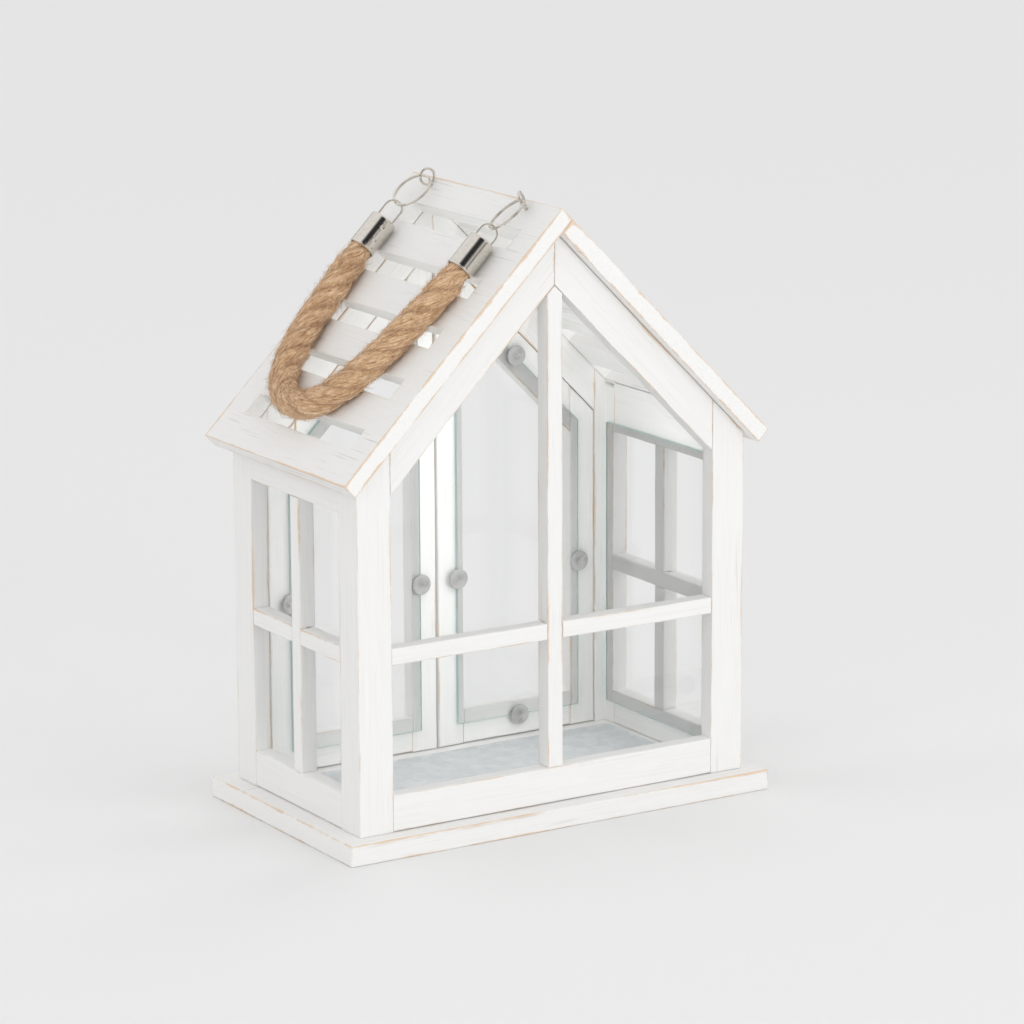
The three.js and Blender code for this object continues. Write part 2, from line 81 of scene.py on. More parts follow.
# ---- driving dimensions, in metres, as the CAD model has them ----
RIDGE_Z = 352 * MM
EYE_Y = {"back": 54.4 * MM, "front": -47.6 * MM}
EYE_S = 4 * MM                   # eye centre, down the left slope from the ridge
EYE_H = 5.8 * MM                 # and above the slope's surface
EYE_R = 4.6 * MM
EYE_WIRE = 0.75 * MM
EYE_LEAN = math.radians(27)      # from upright, towards the left
EYE_TURN = {"back": 0, "front": math.radians(50)}
RING_R = 11.85 * MM
RING_HALF_WIDTH = 0.55 * MM
RING_HALF_DEPTH = 0.8 * MM
RING_ROLL = {"back": math.radians(-5), "front": math.radians(12)}
FERRULE_R = 7.85 * MM
FERRULE_WALL = 0.65 * MM
FERRULE_LENGTH = 21.4 * MM
FERRULE_Y = {"back": 57.4 * MM, "front": -45.8 * MM}
FERRULE_S = {"back": 39.2 * MM, "front": 36 * MM}    # closed end of a ferrule, down the slope
BAIL_WIRE = 0.6 * MM
BAIL_FOOT = 5.2 * MM             # a bail's feet, from the ferrule's axis
BAIL_PLAY = 1.9 * MM             # middle of a bail's bend, from the ring's wire
BAIL_TURN = {"back": math.radians(48), "front": math.radians(22)}
MARK_ANGLE = {"back": -1.35, "front": 3.6}           # crimp marks, round the ferrule
ROPE_R = 8.2 * MM
ROPE_NECK_R = 6.9 * MM
ROPE_H = 8.6 * MM                # rope's and ferrules' axis, above the slope's surface
HOLD_S = EYE_S + math.sqrt((2 * RING_R) ** 2 - (ROPE_H - EYE_H) ** 2)    # where rings hold bails
SCREW_HEAD_R = 1.7 * MM

DOWN_SLOPE = Vector((-math.sqrt(0.5), 0, -math.sqrt(0.5)))
OFF_SLOPE = Vector((-math.sqrt(0.5), 0, math.sqrt(0.5)))
UP = Vector((0, 0, 1))


def left_slope(s, y, h):
    """A point over the left slope: s down from the ridge, y along it, h out from its surface."""
    return Vector((0, y, RIDGE_Z)) + DOWN_SLOPE * s + OFF_SLOPE * h


def smooth_step(x):
    """0 up to 0, 1 from 1 on, and a smooth rise between."""
    x = min(1, max(0, x))
    return x * x * (3 - 2 * x)


# ---- camera ----
AZIMUTH = math.radians(-31.817)  # of the camera, round the lantern from its front
ELEVATION = math.radians(13.121)
ROLL = math.radians(-0.243)
CAMERA_TARGET = Vector((0.0097, -0.0089, 0.1672))
CAMERA_DISTANCE = 2.479
FOCAL_LENGTH_MM = 153.07
SENSOR_MM = 36


def add_camera():
    level = Vector((math.cos(AZIMUTH), math.sin(AZIMUTH), 0))
    flat = math.cos(ELEVATION)
    ahead = Vector((-math.sin(AZIMUTH) * flat, math.cos(AZIMUTH) * flat, -math.sin(ELEVATION)))
    right = Quaternion(-ahead, ROLL) @ level
    data = bpy.data.cameras.new("camera")
    data.lens = FOCAL_LENGTH_MM
    data.sensor_width = SENSOR_MM
    data.clip_end = 200
    camera = bpy.data.objects.new("camera", data)
    bpy.context.scene.collection.objects.link(camera)
    turned = Matrix((right, right.cross(ahead), -ahead)).transposed()
    camera.matrix_world = Matrix.Translation(CAMERA_TARGET - ahead * CAMERA_DISTANCE) @ turned.to_4x4()
    bpy.context.scene.camera = camera


# ---- mesh helpers ----
NEAR_AXIS = 1e-6                 # radius that stands for 0 where a turned shape meets its axis


def new_piece(name, points, faces, smooth=True):
    mesh = bpy.data.meshes.new(name)
    mesh.from_pydata([tuple(p) for p in points], [], faces)
    mesh.validate()
    mesh.update()
    if smooth:
        mesh.shade_smooth()
    piece = bpy.data.objects.new(name, mesh)
    bpy.context.scene.collection.objects.link(piece)
    return piece


def point_values(piece, name, values):
    """Writes one number or one vector for each vertex, for the piece's material to read."""
    values = np.asarray(values, np.float32)
    kind, field = ("FLOAT", "value") if values.ndim == 1 else ("FLOAT_VECTOR", "vector")
    attribute = piece.data.attributes.new(name, kind, "POINT")
    attribute.data.foreach_set(field, values.ravel())


def dress(piece, node_name, material):
    """Puts a built piece in place of a CAD node, on the body that the node rides on."""
    piece.data.materials.clear()
    piece.data.materials.append(material)
    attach(piece, frame["nodes"][node_name]["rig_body"])
    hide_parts(node_name)


class Shell:
    """Gathers vertices and faces of a piece that is made of several closed shapes."""

    def __init__(self):
        self.points = []
        self.faces = []

    def add(self, points, faces):
        start = len(self.points)
        self.points.extend(Vector(p) for p in points)
        self.faces.extend(tuple(i + start for i in face) for face in faces)
        return self

    def rings(self, rings, closed=False):
        """A skin over rings of equal length, with flat ends, or joined end to end."""
        count = len(rings[0])
        points = [p for ring in rings for p in ring]
        faces = []
        last = len(rings) if closed else len(rings) - 1
        for i in range(last):
            a, b = i * count, (i + 1) % len(rings) * count
            faces += [(a + j, a + (j + 1) % count, b + (j + 1) % count, b + j) for j in range(count)]
        if not closed:
            faces.append(tuple(range(count))[::-1])
            faces.append(tuple(range(len(points) - count, len(points))))
        return self.add(points, faces)

    def piece(self, name):
        return new_piece(name, self.points, self.faces)


def directions(line):
    """The way a line runs, at each of its points."""
    last = len(line) - 1
    return [(line[min(i + 1, last)] - line[max(i - 1, 0)]).normalized() for i in range(last + 1)]


def side_frames(line):
    """Two side directions at each point of a line, turning as little as they can along it."""
    tangents = directions(line)
    side = tangents[0].orthogonal().normalized()
    frames = []
    for tangent in tangents:
        side = (side - tangent * side.dot(tangent)).normalized()
        frames.append((side, tangent.cross(side)))
    return frames


def wire(shell, line, radius, sides):
    """A round wire along a line; radius is one number or one for each point."""
    radii = radius if hasattr(radius, "__len__") else [radius] * len(line)
    angles = [2 * math.pi * j / sides for j in range(sides)]
    shell.rings([
        [p + (u * math.cos(a) + v * math.sin(a)) * r for a in angles]
        for p, (u, v), r in zip(line, side_frames(line), radii)
    ])


def lathe(shell, profile, origin, axis, segments, reshape=None):
    """
    Turns a profile of (radius, height) about an axis.

    A profile that starts on the axis gets flat ends, and any other closes on itself. reshape takes
    a radius, a height and an angle, and returns the radius to use there.
    """
    turn = UP.rotation_difference(axis).to_matrix()
    rings = []
    for r, h in profile:
        ring = []
        for j in range(segments):
            angle = 2 * math.pi * j / segments
            radius = max(reshape(r, h, angle) if reshape else r, NEAR_AXIS)
            spoke = Vector((radius * math.cos(angle), radius * math.sin(angle), h))
            ring.append(Vector(origin) + turn @ spoke)
        rings.append(ring)
    shell.rings(rings, closed=profile[0][0] > NEAR_AXIS)


def rounded(corners, steps):
    """A line through corners (x, y, radius), with an arc at each corner whose radius isn't 0."""
    line = []
    for i, (x, y, radius) in enumerate(corners):
        here = Vector((x, y))
        if not radius:
            line.append(here)
            continue
        before = (Vector(corners[i - 1][:2]) - here).normalized()
        after = (Vector(corners[(i + 1) % len(corners)][:2]) - here).normalized()
        half = before.angle(after) / 2
        reach = radius / math.tan(half)
        centre = here + (before + after).normalized() * radius / math.sin(half)
        first, last = here + before * reach - centre, here + after * reach - centre
        turn = math.atan2(first.x * last.y - first.y * last.x, first.dot(last))
        for k in range(steps + 1):
            angle = turn * k / steps
            cos, sin = math.cos(angle), math.sin(angle)
            line.append(centre + Vector((first.x * cos - first.y * sin, first.x * sin + first.y * cos)))
    return [tuple(p) for p in line]


def rounded_box(low_x, low_y, high_x, high_y, radius, steps):
    """The outline of a rectangle with rounded corners."""
    corners = ((low_x, low_y), (high_x, low_y), (high_x, high_y), (low_x, high_y))
    return rounded([(x, y, radius) for x, y in corners], steps)


def drum(inner, outer, length, ease):
    """The profile of a disc or a drum whose outer edges are eased, for lathe."""
    return rounded([(inner, 0, 0), (outer, 0, ease), (outer, length, ease), (inner, length, 0)], 3)


def spline(points, per_span=12):
    """A smooth line through points, after Catmull and Rom, spaced by the square root of the distance."""
    points = [Vector(p) for p in points]
    points = [2 * points[0] - points[1], *points, 2 * points[-1] - points[-2]]
    line = []
    for p0, p1, p2, p3 in zip(points, points[1:], points[2:], points[3:]):
        t0 = 0
        t1 = t0 + math.sqrt((p1 - p0).length)
        t2 = t1 + math.sqrt((p2 - p1).length)
        t3 = t2 + math.sqrt((p3 - p2).length)
        for k in range(per_span):
            t = t1 + (t2 - t1) * k / per_span
            a1 = p0.lerp(p1, (t - t0) / (t1 - t0))
            a2 = p1.lerp(p2, (t - t1) / (t2 - t1))
            a3 = p2.lerp(p3, (t - t2) / (t3 - t2))
            b1 = a1.lerp(a2, (t - t0) / (t2 - t0))
            b2 = a2.lerp(a3, (t - t1) / (t3 - t1))
            line.append(b1.lerp(b2, (t - t1) / (t2 - t1)))
    line.append(points[-2])
    return line


def evenly(line, step):
    """The same line with points an even step apart, and its length."""
    line = np.array([tuple(p) for p in line])
    run = np.concatenate([[0], np.cumsum(np.linalg.norm(np.diff(line, axis=0), axis=1))])
    places = np.linspace(0, run[-1], max(2, round(run[-1] / step) + 1))
    return [Vector([np.interp(s, run, line[:, k]) for k in range(3)]) for s in places], float(run[-1])


# ---- material helpers ----
def shader(name):
    material = bpy.data.materials.new(name)
    material.use_nodes = True
    tree = material.node_tree
    return material, tree, tree.nodes["Principled BSDF"]


def feed(tree, node, inputs):
    """Sets a node's inputs, each to a number, a colour or another node's output."""
    for key, value in inputs.items():
        if isinstance(value, bpy.types.NodeSocket):
            tree.links.new(value, node.inputs[key])
        else:
            node.inputs[key].default_value = value


def put(tree, kind, inputs, **settings):
    made = tree.nodes.new(kind)
    for key, value in settings.items():
        setattr(made, key, value)
    feed(tree, made, inputs)
    return made


def maths(tree, operation, a, b):
    return put(tree, "ShaderNodeMath", {0: a, 1: b}, operation=operation).outputs[0]


def mixture(tree, a, share, b):
    """A share of one number and the rest of another."""
    return maths(tree, "ADD", maths(tree, "MULTIPLY", a, share), maths(tree, "MULTIPLY", b, 1 - share))


def uneven(tree, value, chance, amount):
    """A number with noise added to it; the noise's middle is a half."""
    return maths(tree, "ADD", value, maths(tree, "MULTIPLY", maths(tree, "SUBTRACT", chance, 0.5), amount))


def attribute(tree, name, output):
    return put(tree, "ShaderNodeAttribute", {}, attribute_name=name).outputs[output]


def texture_place(tree, output):
    return put(tree, "ShaderNodeTexCoord", {}).outputs[output]


def light_path(tree, output):
    return put(tree, "ShaderNodeLightPath", {}).outputs[output]


def stretched_noise(tree, place, across, along, detail, roughness=0.6):
    """Noise of features that are across wide and along long, in metres, where x runs along."""
    scale = (1 / along, 1 / across, 1 / across)
    scaled = put(tree, "ShaderNodeVectorMath", {0: place, 1: scale}, operation="MULTIPLY").outputs[0]
    inputs = {"Vector": scaled, "Scale": 1.0, "Detail": detail, "Roughness": roughness}
    return put(tree, "ShaderNodeTexNoise", inputs).outputs["Fac"]


def ramp(tree, value, *stops):
    """Colours at places from 0 to 1."""
    made = put(tree, "ShaderNodeValToRGB", {"Fac": value})
    elements = made.color_ramp.elements
    while len(elements) < len(stops):
        elements.new(0.5)
    for element, (place, colour) in zip(elements, stops):
        element.position = place
        element.color = (*colour, 1)
    return made.outputs["Color"]


def spread(tree, value, low, high, to_low=0.0, to_high=1.0):
    inputs = {"Value": value, "From Min": low, "From Max": high, "To Min": to_low, "To Max": to_high}
    return put(tree, "ShaderNodeMapRange", inputs, interpolation_type="SMOOTHSTEP").outputs["Result"]


def blend(tree, factor, a, b):
    """One colour, or as much of another as the factor says."""
    a, b = ((*colour, 1) if isinstance(colour, tuple) else colour for colour in (a, b))
    return put(tree, "ShaderNodeMix", {0: factor, 6: a, 7: b}, data_type="RGBA").outputs[2]


def bump(tree, height, strength, distance):
    inputs = {"Height": height, "Strength": strength, "Distance": distance}
    return put(tree, "ShaderNodeBump", inputs).outputs["Normal"]


# ---- materials ----
def whitewash():
    """Brushed white paint over light wood, rubbed through along the arrises."""
    material, tree, surface = shader("whitewashed_wood")
    grain = attribute(tree, "grain", "Vector")
    rub = attribute(tree, "rub", "Fac")
    weather = attribute(tree, "weather", "Fac")
    brush = stretched_noise(tree, grain, 1.6 * MM, 55 * MM, detail=5.0)
    fine = stretched_noise(tree, grain, 0.5 * MM, 12 * MM, detail=3.0)
    patches = stretched_noise(tree, grain, 16 * MM, 60 * MM, detail=2.0)
    chips = stretched_noise(tree, grain, 1.3 * MM, 6 * MM, detail=4.0, roughness=0.7)

    paint = ramp(
        tree, brush, (0.3, (0.855, 0.845, 0.82)), (0.48, (0.895, 0.89, 0.88)), (0.7, (0.915, 0.91, 0.90)),
    )
    greyed, streaked = (0.79, 0.785, 0.765), (0.63, 0.61, 0.575)
    streaks = maths(tree, "MULTIPLY", spread(tree, brush, 0.54, 0.72), spread(tree, patches, 0.40, 0.66))
    paint = blend(tree, maths(tree, "MULTIPLY", weather, 0.35), paint, greyed)
    paint = blend(tree, maths(tree, "MULTIPLY", streaks, weather), paint, streaked)

    wood = ramp(tree, fine, (0.3, (0.65, 0.44, 0.28)), (0.55, (0.77, 0.57, 0.39)), (0.8, (0.86, 0.71, 0.54)))
    worn = uneven(tree, uneven(tree, rub, chips, 0.5), patches, 1.3)
    worn = spread(tree, worn, 0.78, 1.12, 0.0, 0.8)
    height = maths(tree, "SUBTRACT", mixture(tree, brush, 0.7, fine), maths(tree, "MULTIPLY", worn, 0.5))
    feed(tree, surface, {
        "Base Color": blend(tree, worn, paint, wood),
        "Roughness": spread(tree, brush, 0.3, 0.7, 0.5, 0.66),
        "Specular IOR Level": 0.35,
        "Normal": bump(tree, height, 0.35, 0.35 * MM),
    })
    return material


def glass(name, colour, roughness=0.0, clearness=1.0):
    """Glass that lets lamps through, so that what is behind it is lit."""
    material, tree, surface = shader(name)
    feed(tree, surface, {
        "Base Color": (*colour, 1),
        "Roughness": roughness,
        "IOR": 1.45,
        "Transmission Weight": clearness,
    })
    through = put(tree, "ShaderNodeBsdfTransparent", {"Color": (*colour, 1)})
    shadow = light_path(tree, "Is Shadow Ray")
    mixed = put(tree, "ShaderNodeMixShader", {0: shadow, 1: surface.outputs[0], 2: through.outputs[0]})
    feed(tree, tree.nodes["Material Output"], {"Surface": mixed.outputs[0]})
    return material


def nickel():
    """Bright plated steel, with faint handling marks."""
    material, tree, surface = shader("bright_nickel")
    place = texture_place(tree, "Object")
    cloud = stretched_noise(tree, place, 2.5 * MM, 2.5 * MM, detail=5.0)
    fine = stretched_noise(tree, place, 0.35 * MM, 0.35 * MM, detail=2.0)
    feed(tree, surface, {
        "Base Color": ramp(tree, cloud, (0.35, (0.69, 0.65, 0.59)), (0.65, (0.76, 0.72, 0.66))),
        "Metallic": 1,
        "Roughness": spread(tree, cloud, 0.3, 0.75, 0.12, 0.16),
        "Normal": bump(tree, fine, 0.05, 0.05 * MM),
    })
    return material


def zinc(name, dark, middle, light, metallic):
    """Dull galvanised steel: cloudy spangles and fine scratches."""
    material, tree, surface = shader(name)
    place = texture_place(tree, "Object")
    cells = put(tree, "ShaderNodeTexVoronoi", {"Vector": place, "Scale": 1 / (7 * MM)}).outputs["Color"]
    spangle = put(tree, "ShaderNodeSeparateColor", {"Color": cells}).outputs[0]
    cloud = stretched_noise(tree, place, 9 * MM, 9 * MM, detail=5.0)
    mixed = mixture(tree, spangle, 0.25, cloud)
    scratches = stretched_noise(tree, place, 0.4 * MM, 30 * MM, detail=3.0)
    feed(tree, surface, {
        "Base Color": ramp(tree, mixed, (0.25, dark), (0.5, middle), (0.75, light)),
        "Metallic": metallic,
        "Roughness": spread(tree, mixed, 0.25, 0.75, 0.42, 0.6),
        "Normal": bump(tree, scratches, 0.12, 0.05 * MM),
    })
    return material


def jute(name, fuzz=False):
    """Coarse tan fibres; on the rope, not its loose fuzz, shade is painted darker down in the creases
    between the strands.
    """
    material, tree, surface = shader(name)
    fibre = attribute(tree, "fibre", "Vector")
    strands = stretched_noise(tree, fibre, 0.75 * MM, 5 * MM, detail=4.0, roughness=0.7)
    clumps = stretched_noise(tree, fibre, 2.6 * MM, 8 * MM, detail=3.0)
    mixed = mixture(tree, strands, 0.75, clumps)
    tint = ramp(
        tree, mixed, (0.36, (0.27, 0.13, 0.06)), (0.45, (0.54, 0.32, 0.17)),
        (0.54, (0.78, 0.54, 0.33)), (0.66, (0.95, 0.79, 0.58)),
    )
    if not fuzz:
        # painted shade: the colour is darkened towards a dark brown by how deep a point lies in a crease,
        # broken up by the clumps
        depth = attribute(tree, "crease", "Fac")
        painted_crease_shade = maths(tree, "MULTIPLY", depth, spread(tree, clumps, 0.35, 0.6, 0.35, 1.0))
        tint = blend(tree, spread(tree, painted_crease_shade, 0.3, 1.0, 0.0, 0.65), tint, (0.33, 0.165, 0.08))
        feed(tree, surface, {"Normal": bump(tree, mixed, 0.8, 0.7 * MM)})
    feed(tree, surface, {
        "Base Color": tint,
        "Roughness": 0.85,
        "Specular IOR Level": 0.25,
        "Sheen Weight": 0.25,
        "Sheen Roughness": 0.5,
    })
    return material


WHITEWASH = whitewash()
CLEAR = glass("clear_glass", (0.997, 1.0, 0.998))
EDGE = glass("glass_edge", (0.60, 0.81, 0.79), 0.4, clearness=0.4)
NICKEL = nickel()
TRAY_ZINC = zinc("grey_zinc", (0.58, 0.61, 0.63), (0.67, 0.70, 0.72), (0.76, 0.785, 0.80), 0.15)
DISC_ZINC = zinc("dull_zinc", (0.38, 0.38, 0.375), (0.45, 0.45, 0.445), (0.52, 0.52, 0.515), 0.1)
JUTE = jute("jute")
JUTE_FUZZ = jute("jute_fuzz", fuzz=True)


# ---- rope handle ----
ROPE_IN = 2.2 * MM               # rope's ends, inside the closed ends of the ferrules
# The rope's axis from mouth to mouth: along the ridge (y), and down the slope (s).
ROPE_LOOP = [
    (56.5 * MM, 72.5 * MM),
    (55 * MM, 84 * MM),
    (53.2 * MM, 98 * MM),
    (51.2 * MM, 112 * MM),
    (48 * MM, 126 * MM),
    (42.4 * MM, 140 * MM),
    (32.6 * MM, 153 * MM),
    (18 * MM, 161.6 * MM),
    (1 * MM, 163.4 * MM),
    (-13.5 * MM, 157.2 * MM),
    (-24 * MM, 145.6 * MM),
    (-31 * MM, 131 * MM),
    (-36.8 * MM, 114.5 * MM),
    (-40.4 * MM, 98 * MM),
    (-43.2 * MM, 84 * MM),
    (-45.1 * MM, 69.5 * MM),
]
STRANDS = 3
ROPE_LAY = 45 * MM               # length in which a strand goes once round
YARN_LAY = 42 * MM               # length in which a strand's own yarns go once round it, the other way
ROPE_SIDES = 90
ROPE_STEP = 0.75 * MM
STRAND_OFFSET = 0.51             # strand's axis from the rope's, in rope radii
STRAND_SIZE = 0.505              # strand's radius, in rope radii
YARNS = 7
CREASE_DEPTH = 0.15              # how deep the creases between strands are, in rope radii
YARN_DEPTH = 0.022               # and how deep the lines between its yarns are
SQUEEZED_R = ROPE_NECK_R - 0.4 * MM      # rope's radius inside a ferrule
SWELL_LENGTH = 12 * MM           # length in which it gets its full size outside one
FIBRE_RELIEF = 0.14 * MM         # height of single fibres on the rope's skin,
LUMP_RELIEF = 0.3 * MM           # of its slow lumps,
TANGLE_RELIEF = 0.26 * MM        # and of tangles
FIBRE_WAVES = (160, 900)         # how fine they are, in waves to the metre: fibres along and across,
LUMP_WAVES = 90                  # lumps,
TANGLE_WAVES = 700               # and tangles
FUZZ_SHARE = 0.3                 # share of the skin's points that a loose fibre starts from


def rope_line():
    places = ((end, FERRULE_S[end] + out) for end, out in (
        ("back", ROPE_IN), ("back", FERRULE_LENGTH), ("front", FERRULE_LENGTH), ("front", ROPE_IN),
    ))
    ends = [(FERRULE_Y[end], s) for end, s in places]
    route = ends[:2] + ROPE_LOOP + ends[2:]
    return evenly(spline([left_slope(s, y, ROPE_H) for y, s in route]), ROPE_STEP)


def rope_section(angle, run, radius):
    """Where the rope's skin is at an angle: its distance, how deep in a crease, and the fibre there."""
    turned = angle - 2 * math.pi * run / ROPE_LAY
    strand = round(turned / (2 * math.pi / STRANDS))
    off = turned - strand * 2 * math.pi / STRANDS
    strand %= STRANDS
    arm = STRAND_OFFSET * radius
    reach = STRAND_SIZE * radius
    distance = arm * math.cos(off) + math.sqrt(max(reach ** 2 - (arm * math.sin(off)) ** 2, 0))
    outermost = arm + reach
    crease = min(1, max(0, (outermost - distance) / (outermost - radius * 0.5)))
    local = math.atan2(distance * math.sin(off), distance * math.cos(off) - arm)
    twisted = local + 2 * math.pi * run / YARN_LAY + strand * 1.7
    yarn = abs(math.sin(YARNS * twisted / 2))
    soft_distance = radius * (1 - CREASE_DEPTH * crease ** 1.3 - YARN_DEPTH * (1 - yarn) ** 2)
    across = reach * math.cos(twisted), reach * math.sin(twisted) + strand * 0.05
    return soft_distance, crease, Vector((run + strand * 0.31, *across))


def make_rope():
    line, length = rope_line()
    rings, creases, fibres, hairs = [], [], [], []
    chance = random.Random(11)
    for i, (centre, along, (u, v)) in enumerate(zip(line, directions(line), side_frames(line))):
        run = i * length / (len(line) - 1)
        outside = min(run, length - run) - (FERRULE_LENGTH - ROPE_IN)
        swell = smooth_step(outside / SWELL_LENGTH)
        radius = SQUEEZED_R + (ROPE_R - SQUEEZED_R) * swell
        ring = []
        for j in range(ROPE_SIDES):
            angle = 2 * math.pi * j / ROPE_SIDES
            out = u * math.cos(angle) + v * math.sin(angle)
            distance, crease, fibre = rope_section(angle, run, radius)
            fine = Vector((fibre.x * FIBRE_WAVES[0], fibre.y * FIBRE_WAVES[1], fibre.z * FIBRE_WAVES[1]))
            single = noise.fractal(fine, 0.8, 2.0, 3)
            lumps = noise.noise(Vector((run * LUMP_WAVES, math.cos(angle) * 1.3, math.sin(angle) * 1.3)))
            tangle = noise.fractal((centre + out * radius) * TANGLE_WAVES, 0.9, 2.0, 2)
            distance += FIBRE_RELIEF * single + (LUMP_RELIEF * lumps + TANGLE_RELIEF * tangle) * swell
            point = centre + out * distance
            ring.append(point)
            creases.append(crease)
            fibres.append(fibre)
            if swell > 0 and chance.random() < FUZZ_SHARE:
                hairs.append((point, out, along, fibre))
        rings.append(ring)
    rope = Shell().rings(rings).piece("rope_handle_jute")
    # how deep each point lies in a crease, which the jute material reads for its painted crease shade
    point_values(rope, "crease", creases)
    point_values(rope, "fibre", [tuple(f) for f in fibres])
    dress(rope, "rope_handle", JUTE)
    return rope, line, length, hairs


def make_fuzz(hairs):
    """Short loose fibres that stand off the rope and lie back along it."""
    chance = random.Random(5)
    shell = Shell()
    values = []
    for point, out, along, fibre in hairs:
        side = along.cross(out)
        lean = along * chance.choice((-1, 1)) + side * chance.uniform(-1.3, 1.3)
        size = chance.uniform(1.5, 6) * MM
        rise = chance.uniform(0.05, 0.5)
        curl = side * chance.uniform(-0.5, 0.5)
        root = point - out * 0.25 * MM
        line = [
            root + (lean * t + out * rise * t * (1.3 - 0.6 * t) + curl * t * t) * size
            for t in (0, 0.35, 0.7, 1)
        ]
        before = len(shell.points)
        thick = chance.uniform(0.05, 0.1) * MM
        wire(shell, line, [thick, thick, thick * 0.8, thick * 0.3], sides=3)
        values += [tuple(fibre)] * (len(shell.points) - before)
    fuzz = shell.piece("rope_handle_fuzz")
    point_values(fuzz, "fibre", values)
    fuzz.data.materials.append(JUTE_FUZZ)
    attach(fuzz, "handle")
    return fuzz


def add_rope():
    rope, line, length, hairs = make_rope()
    fuzz = make_fuzz(hairs)


# ---- timber ----
GRAIN_ALONG_RIDGE = ("left_roof_board", "right_roof_board")
WEATHERED = {"left_roof_board": 1.0, "right_roof_board": 0.8, "base_board": 0.75}
WORN_ENDS = ("left_roof_board", "right_roof_board", "base_board")
WEAR = {"left_roof_board": 1.18, "right_roof_board": 1.14, "base_board": 1.14}
WEAR_ELSEWHERE = 0.99
WEATHERED_ELSEWHERE = 0.4
WEATHERED_CUT_END = 0.1
ARRIS = 0.8 * MM                 # rounding of an arris along the grain
END_ARRIS = 0.15 * MM            # and of one across it
END_REACH = 0.1 * MM             # how far a timber's cut ends stand into the joint's gap
RUB_REACH = 3.2 * MM             # how far from an arris the paint is thinner
RIM = 1 * MM                     # how near to a board's outside its rim is
INSETS = (1.3 * MM, 3.4 * MM)    # where a board's mesh is cut: this far in from its faces,
SLICE = 9 * MM                   # and every so far along its grain
SLOW_WOBBLE = (22, 0.16 * MM)    # waves to the metre, and height
QUICK_WOBBLE = (90, 0.09 * MM)
SHARP = math.radians(20)         # the least turn of an edge that is an arris
SAME_PLANE = 0.1 * MM
WELD = 0.01 * MM


def grain_direction(name, points):
    if name in GRAIN_ALONG_RIDGE:
        return Vector((0, 1, 0))
    _, axes = np.linalg.eigh(np.cov((points - points.mean(0)).T))
    return Vector(axes[:, -1]).normalized()


def face_planes(bm):
    planes = []
    for face in bm.faces:
        normal, offset = face.normal.copy(), face.normal.dot(face.verts[0].co)
        if all(normal.dot(n) < 0.999 or abs(offset - d) > SAME_PLANE for n, d in planes):
            planes.append((normal, offset))
    return planes


def on_rim(point, corners, *axes):
    """Whether a point lies on a board's outer rim, and not on the edge of a slot in it."""
    for axis in axes:
        places, place = corners @ np.array(tuple(axis)), point @ np.array(tuple(axis))
        if min(place - places.min(), places.max() - place) < RIM:
            return True
    return False


def slice_at(bm, point, normal):
    everything = bm.verts[:] + bm.edges[:] + bm.faces[:]
    bmesh.ops.bisect_plane(bm, geom=everything, dist=WELD, plane_co=point, plane_no=normal)


def slice_up(bm, corners, grain):
    """Gives a board's mesh points enough for its wear and its wobble."""
    for normal, offset in face_planes(bm):
        for inset in INSETS:
            slice_at(bm, normal * (offset - inset), normal)
    places = corners @ np.array(tuple(grain))
    for place in np.arange(places.min() + SLICE, places.max() - SLICE / 2, SLICE):
        slice_at(bm, grain * place, grain)
    bm.normal_update()


def sharp_edges(bm):
    return [edge for edge in bm.edges if len(edge.link_faces) == 2 and edge.calc_face_angle() > SHARP]


def runs_along(edge, grain):
    return abs((edge.verts[1].co - edge.verts[0].co).normalized().dot(grain)) > 0.7


def rubbed_arrises(bm, name, corners, grain):
    """The arrises along which the paint is thin, as pairs of points."""
    across = max(bm.faces, key=lambda face: face.calc_area()).normal.cross(grain)
    arrises = []
    for edge in sharp_edges(bm):
        a, b = (np.array(tuple(v.co)) for v in edge.verts)
        outside = name not in GRAIN_ALONG_RIDGE or on_rim((a + b) / 2, corners, grain, across)
        if edge.is_convex and outside and (name in WORN_ENDS or runs_along(edge, grain)):
            arrises.append((a, b))
    return arrises


def reach_ends(bm, corners, grain):
    """Lets a timber's cut ends reach a little into the gaps of its joints."""
    middle = Vector((corners.min(0) + corners.max(0)) / 2)
    for face in bm.faces:
        if abs(face.normal.dot(grain)) > 0.97:
            for vert in face.verts:
                vert.tag = True
    for vert in bm.verts:
        if vert.tag:
            vert.co += grain * math.copysign(END_REACH, (vert.co - middle).dot(grain))


def near_segments(points, segments):
    """Distance from each point to the nearest of some line segments."""
    nearest = np.full(len(points), 1.0)
    for a, b in segments:
        along = b - a
        t = np.clip((points - a) @ along / (along @ along), 0, 1)
        nearest = np.minimum(nearest, np.linalg.norm(points - a - t[:, None] * along, axis=1))
    return nearest


def eased(bm, name):
    """A new piece of a board's shape, with its arrises rounded by their weights."""
    mesh = bpy.data.meshes.new(name)
    bm.to_mesh(mesh)
    board = bpy.data.objects.new(name, mesh)
    bpy.context.scene.collection.objects.link(board)
    ease = board.modifiers.new("ease", "BEVEL")
    ease.width = ARRIS
    ease.segments = 2
    ease.limit_method = "WEIGHT"
    ease.use_clamp_overlap = True
    finished = bpy.data.meshes.new_from_object(board.evaluated_get(bpy.context.evaluated_depsgraph_get()))
    board.modifiers.clear()
    board.data = finished
    finished.shade_smooth()
    return board


